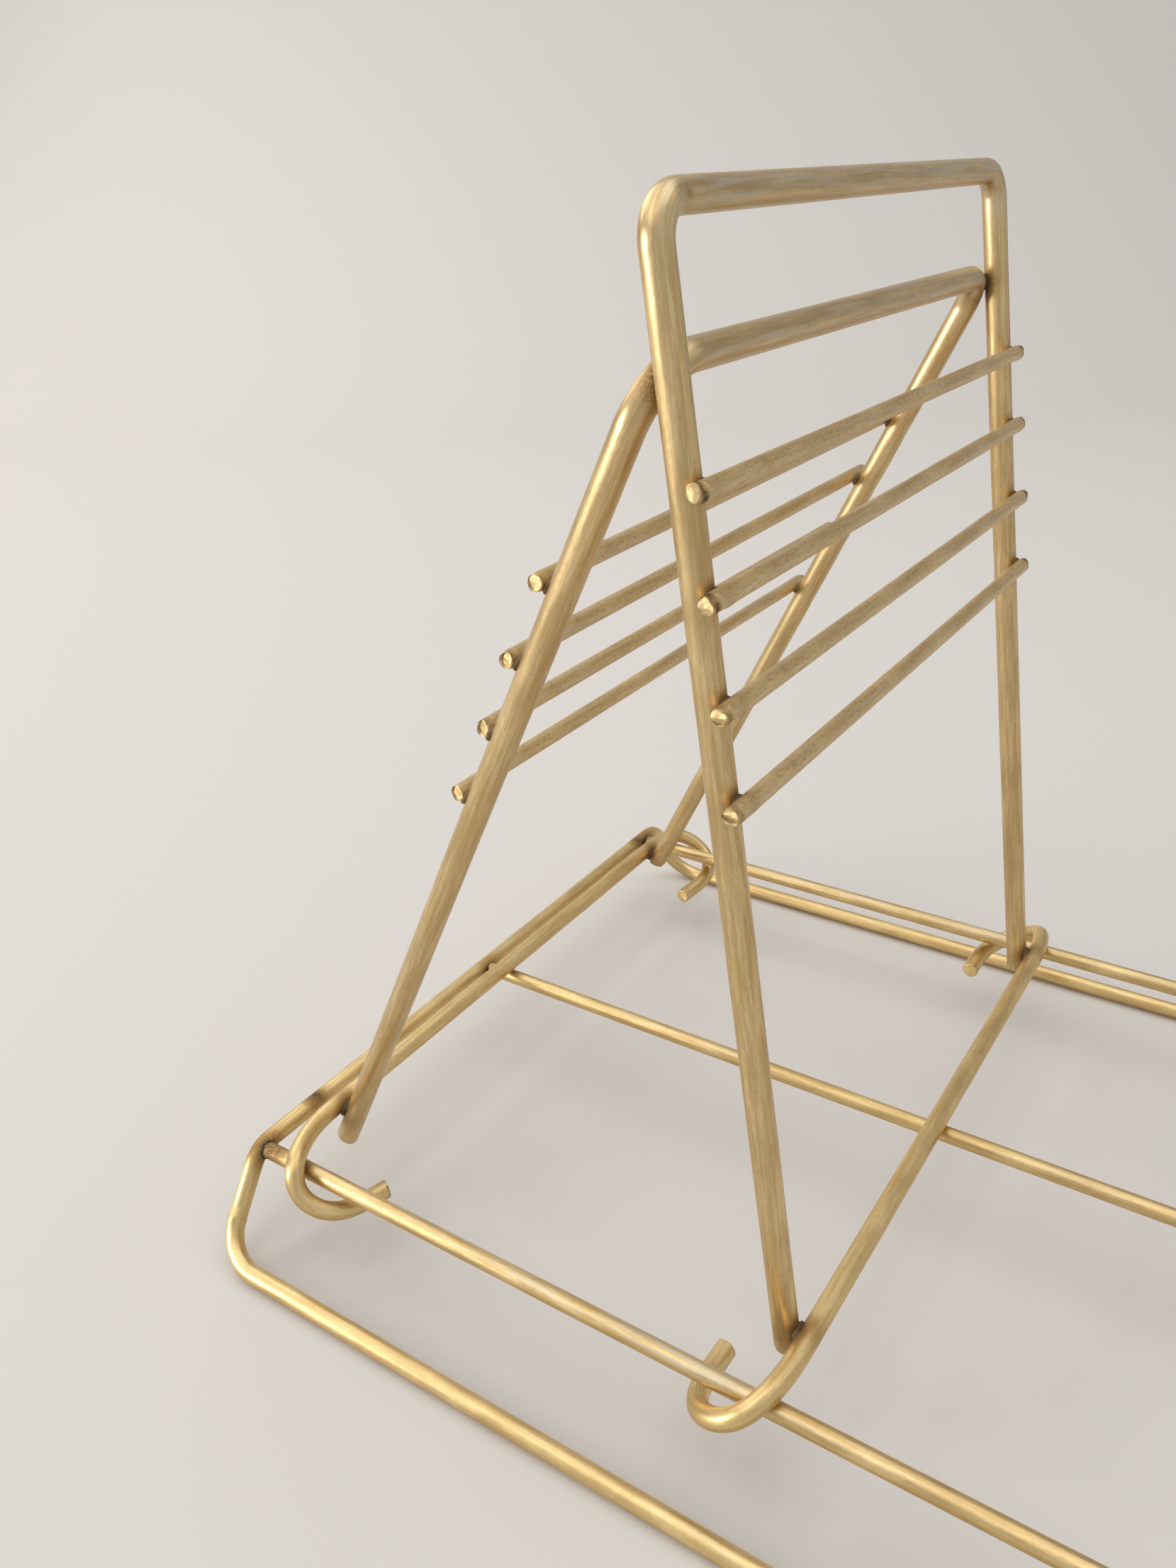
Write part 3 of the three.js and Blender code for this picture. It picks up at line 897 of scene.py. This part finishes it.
class Stand:
    """One sliding stand. way: 1 for the left stand, -1 for the right one, turned half round."""

    def __init__(self, prefix, way, seed):
        self.prefix, self.way, self.seed = prefix, way, seed
        self.lumps = []
        self.runners = {}
        for name, spec in RUNNERS.items():
            line = runner_line(spec["x"], spec["front_hook"], spec["rear_hook"])
            self.runners[name] = Wire(self.place(line), RUNNER_R)
        self.hoops = {}
        self.bars = []
        for name, spec in HOOPS.items():
            foot_x, lean = hoop_lean(spec)
            self.hoops[name] = Wire(self.place(hoop_line(spec, foot_x)), HOOP_R)
            for i, bar in enumerate(spec["bars"]):
                line = self.place(bar_line(bar, foot_x, lean, -spec["side"]))
                self.bars.append((spec["kind"], i, name, Wire(line, BAR_R)))

    def turn(self, vector):
        return np.asarray(vector, float) * (self.way, self.way, 1)

    def place(self, points):
        return self.turn(points - vec(HALF_LENGTH, 0, 0))

    def next_seed(self):
        return self.seed + len(self.lumps)

    def add_lump(self, centre, across, along, size, heat):
        self.lumps.append(Lump(self.next_seed(), centre, across, along, size, heat))

    def weld_bar(self, bar, leg, kind):
        for end in (-1, 1):
            on_leg, on_bar, contact, across = touch(leg, bar, end)
            seed = self.next_seed()
            size = (0.6, jitter(seed, 1.2, 1.5), jitter(seed + 3, 1.0, 1.3))
            self.add_lump(contact, across, Y_AXIS, size, kind["lump_heat"])
            strength = jitter(seed + 7, 0.45, 0.95) * kind["heat"]
            bar.heat.append(Heat(contact + across * 0.6, strength * 0.9, reach=1.5))
            print_at = on_bar + across * BAR_R + Y_AXIS * -0.3 * end
            print_heat = strength * (0.22 if end < 0 else 0.7)
            bar.heat.append(Heat(print_at, print_heat, reach=1.05))
            leg.heat.append(Heat(contact - across * 0.4, strength * 0.85, reach=1.7))
            depth, half_length = jitter(seed + 9, 0.10, 0.20), jitter(seed + 2, 1.0, 1.4)
            bar.flats.append(Flat(on_bar, across, depth, half_length))
            leg.flats.append(Flat(on_leg, -across, jitter(seed + 5, 0.15, 0.25), 1.3))

    def groove_bar(self, bar, strengths):
        """A groove just behind each sheared end, dented in and darkened along one side."""
        side = self.turn((0.75, 0, 0.66))
        other = np.cross(Y_AXIS, side)
        back = 0.95 + 0.1 * math.sin(self.next_seed())
        for end, strength in zip((-1, 1), strengths):
            tip = max(bar.line[0], bar.line[-1], key=lambda point: point[1] * end)
            neck = tip - Y_AXIS * end * back
            bar.dents.append(Dent(neck, side, depth=0.34 * strength + 0.05, reach=0.62))
            for angle in (-1.25, -0.8, -0.4, 0, 0.4, 0.8, 1.25):
                rim = neck + BAR_R * (side * math.cos(angle) + other * math.sin(angle))
                bar.heat.append(Heat(rim, strength, reach=0.62))

    def weld_runner(self, leg, runner):
        for end in (-1, 1):
            on_leg, on_runner, contact, across = touch(leg, runner, end)
            self.add_lump(contact, across, Y_AXIS, size=(0.8, 1.75, 1.6), heat=0.55)
            leg.heat.append(Heat(contact - across * 0.5, strength=0.8, reach=3.0))
            runner.heat.append(Heat(contact + across * 0.3, strength=1.0, reach=2.5))
            leg.flats.append(Flat(on_leg, -across, depth=0.22, half_length=1.5))
            runner.flats.append(Flat(on_runner, across, depth=0.18, half_length=1.5))

    def weld_hoops(self):
        tall, short = self.hoops["tall"], self.hoops["short"]
        for end in (-1, 1):
            _, _, contact, across = touch(tall, short, end)
            self.add_lump(contact + Z_AXIS * 1.3, across, Z_AXIS, (0.75, 1.3, 1.2), heat=0.75)
            tall.heat.append(Heat(contact + Z_AXIS, strength=0.8, reach=2.2))
            short.heat.append(Heat(contact, strength=0.9, reach=2.6))
            above = contact + Z_AXIS * 1.9 + across * 0.8
            short.heat.append(Heat(above, strength=1.0, reach=1.7))

    def patches(self, points, scale):
        return cloudy(points, scale, (0, self.seed, 0))

    def hoop_wear(self, height):
        """Grey streaks along the top run, fading down the legs, fewer at the front corner."""

        def wear(points, facing):
            top = np.clip((points[:, 2] - height) / 7, 0, 1)
            patches = self.patches(points, (16, 16, 22))
            corner = 1 - 0.65 * np.clip((-40 - self.turn(points)[:, 1]) / 8, 0, 1)
            rubbed = top * (0.8 + 0.5 * patches) + 0.25 * np.clip(patches + 0.1, 0, 1)
            return np.clip(corner * rubbed, 0, 1)

        return wear

    def runner_wear(self, points, facing):
        patches = self.patches(points, (12, 26, 12))
        return np.clip(0.45 * np.clip(facing[:, 2], 0, 1) * (0.6 + 0.9 * patches), 0, 1)

    def bar_wear(self, points, facing):
        return np.clip(0.55 * (0.5 + 1.1 * self.patches(points, (9, 14, 9))), 0, 1)

    def sweep_wire(self, wire, name, kind, cad_name, line=None, **options):
        piece = sweep(f"{self.prefix}_{name}", wire.line if line is None else line, wire.radius,
                      flats=wire.flats, dents=wire.dents, heat=wire.heat, **options)
        dress_wire(piece, kind, self.prefix + "_stand", f"{self.prefix}_{cad_name}")

    def sweep_bar(self, kind_name, i, bar):
        kind = BAR_KINDS[kind_name]
        seed = self.seed + kind["seed"] + i
        # the rear end's two facets and ridge lie a little differently on each bar
        rear_cut = Cut(
            tilt=0.15 * math.sin(seed * 2.3) + 0.3,
            plus_slope=jitter(seed + 4, 0.15, 0.35),
            minus_slope=jitter(seed + 5, 0.2, 0.4),
            offset=jitter(seed + 6, -0.2, 0.2),
            slant=0.1,
        )
        # the top book bar's front tip is knocked up
        lift = 0.32 if (kind_name, i) == ("book", 0) else 0.0
        self.sweep_wire(
            bar, f"{kind_name}_bar_wire_{i + 1}", "bar", f"{kind_name}_bar_{i + 1}",
            line=bar_stations(bar.line, lift), up=self.turn(X_AXIS), seed=seed,
            wear=self.bar_wear, cuts=(kind["cuts"][i], rear_cut),
            pinch=(jitter(seed + 8, *kind["pinch"]), jitter(seed + 9, 0.05, 0.11)),
        )

    def build(self):
        for kind_name, i, leg, bar in self.bars:
            kind = BAR_KINDS[kind_name]
            self.weld_bar(bar, self.hoops[leg], kind)
            self.groove_bar(bar, kind["grooves"][i])
        for name, spec in HOOPS.items():
            self.weld_runner(self.hoops[name], self.runners[spec["runner"]])
        self.weld_hoops()

        # a nick at the tall hoop's front top corner, with painted shade beside it
        tall = self.hoops["tall"]
        tall.heat.append(Heat(self.place(vec(78.6, -49.4, 167.3)), strength=0.38, reach=1.1))
        nick = self.place(vec(77.2, -49.6, 166.9))
        tall.dents.append(Dent(nick, self.turn((0.9, -0.4, 0.1)), depth=0.24, reach=1.2))

        for name, spec in HOOPS.items():
            self.sweep_wire(self.hoops[name], name + "_hoop_wire", "hoop", name + "_hoop",
                            up=self.turn(Y_AXIS), sides=44, seed=self.seed + spec["seed"],
                            wear=self.hoop_wear(spec["wear_from"]), cuts=spec["cuts"])
        for name, spec in RUNNERS.items():
            self.sweep_wire(self.runners[name], name + "_runner_wire", "runner",
                            name + "_runner", sides=40, seed=self.seed + spec["seed"],
                            wear=self.runner_wear, cuts=spec["cuts"])
        for kind_name, i, _, bar in self.bars:
            self.sweep_bar(kind_name, i, bar)
        weld_object(self.prefix + "_weld_metal", self.lumps, self.prefix + "_stand")


make_base()
Stand("left", way=1, seed=100).build()
Stand("right", way=-1, seed=200).build()


# ---------------------------------------------------------------- studio, in metres
def floor_material():
    material = bpy.data.materials.new("floor")
    material.use_nodes = True
    surface = material.node_tree.nodes["Principled BSDF"]
    surface.inputs["Base Color"].default_value = (0.635, 0.615, 0.59, 1)
    surface.inputs["Roughness"].default_value = 0.7
    surface.inputs["Specular IOR Level"].default_value = 0.0
    return material


def make_floor():
    """A floor that curves up into a backdrop."""
    curve_y, curve_r, top_z, steps = 0.8, 0.6, 3.0, 16
    profile = [(y, 0.0) for y in (-2.5, -1.0, -0.5, 0.0, 0.4, curve_y)]
    for k in range(1, steps + 1):
        angle = math.radians(90 * k / steps)
        profile.append((curve_y + curve_r * math.sin(angle), curve_r - curve_r * math.cos(angle)))
    profile.append((curve_y + curve_r, top_z))
    columns = (-3.5, -1.5, 0, 1.5, 3.5)
    verts = [(x, y, z) for y, z in profile for x in columns]
    width = len(columns)
    faces = [
        (i * width + j, i * width + j + 1, (i + 1) * width + j + 1, (i + 1) * width + j)
        for i in range(len(profile) - 1)
        for j in range(width - 1)
    ]
    mesh = bpy.data.meshes.new("studio_floor")
    mesh.from_pydata(verts, [], faces)
    mesh.polygons.foreach_set("use_smooth", [True] * len(mesh.polygons))
    floor = link_object("studio_floor", mesh)
    mesh.materials.append(floor_material())
    # the camera looks across the rails, so the backdrop faces it
    floor.rotation_euler = (0, 0, math.radians(34.5))
    return floor


def area_light(name, place, target, size, power, colour):
    data = bpy.data.lights.new(name, "AREA")
    data.shape = "RECTANGLE"
    data.size, data.size_y = size
    data.energy = power
    data.color = colour
    light = link_object(name, data)
    light.location = place
    light.rotation_mode = "QUATERNION"
    light.rotation_quaternion = (Vector(target) - Vector(place)).to_track_quat("-Z", "Y")
    light.visible_camera = False


def make_lights():
    # a soft box low on the left, a fill above it, one overhead and one high at the front
    area_light("window", place=(-0.84, -0.72, 0.25), target=(-0.12, 0.0, 0.12),
               size=(0.26, 0.44), power=4.3, colour=(1.0, 0.965, 0.92))
    area_light("side_fill", place=(-1.15, 0.25, 0.85), target=(-0.1, 0.0, 0.06),
               size=(0.9, 0.8), power=4.5, colour=(1.0, 0.97, 0.93))
    area_light("overhead", place=(0.0, 0.35, 1.3), target=(-0.1, 0.0, 0.05),
               size=(1.4, 1.0), power=4.0, colour=(0.97, 0.98, 1.0))
    area_light("wash", place=(-0.5, -0.7, 1.5), target=(-0.05, 0.0, 0.0),
               size=(1.3, 1.3), power=6.0, colour=(1.0, 0.98, 0.95))


def make_world():
    world = bpy.data.worlds.new("studio")
    bpy.context.scene.world = world
    world.use_nodes = True
    background = world.node_tree.nodes["Background"]
    background.inputs["Color"].default_value = (0.80, 0.79, 0.78, 1)
    background.inputs["Strength"].default_value = 0.78


def make_camera():
    data = bpy.data.cameras.new("camera")
    camera = link_object("camera", data)
    right = (0.83381026, 0.55082691, -0.03674449)
    upward = (-0.21529641, 0.38574912, 0.89713158)
    backward = (0.50833837, -0.74012656, 0.44023263)
    place = (-0.049964, -0.173906, 0.169985)
    camera.matrix_world = Matrix((*zip(right, upward, backward, place), (0, 0, 0, 1)))
    data.sensor_fit = "AUTO"
    data.sensor_width = 36.0
    data.lens = 28.900134
    data.clip_start = 0.005
    data.clip_end = 20
    bpy.context.scene.camera = camera


make_floor()
make_lights()
make_world()
make_camera()
bpy.context.scene.view_settings.view_transform = "Standard"

bpy.context.view_layer.update()
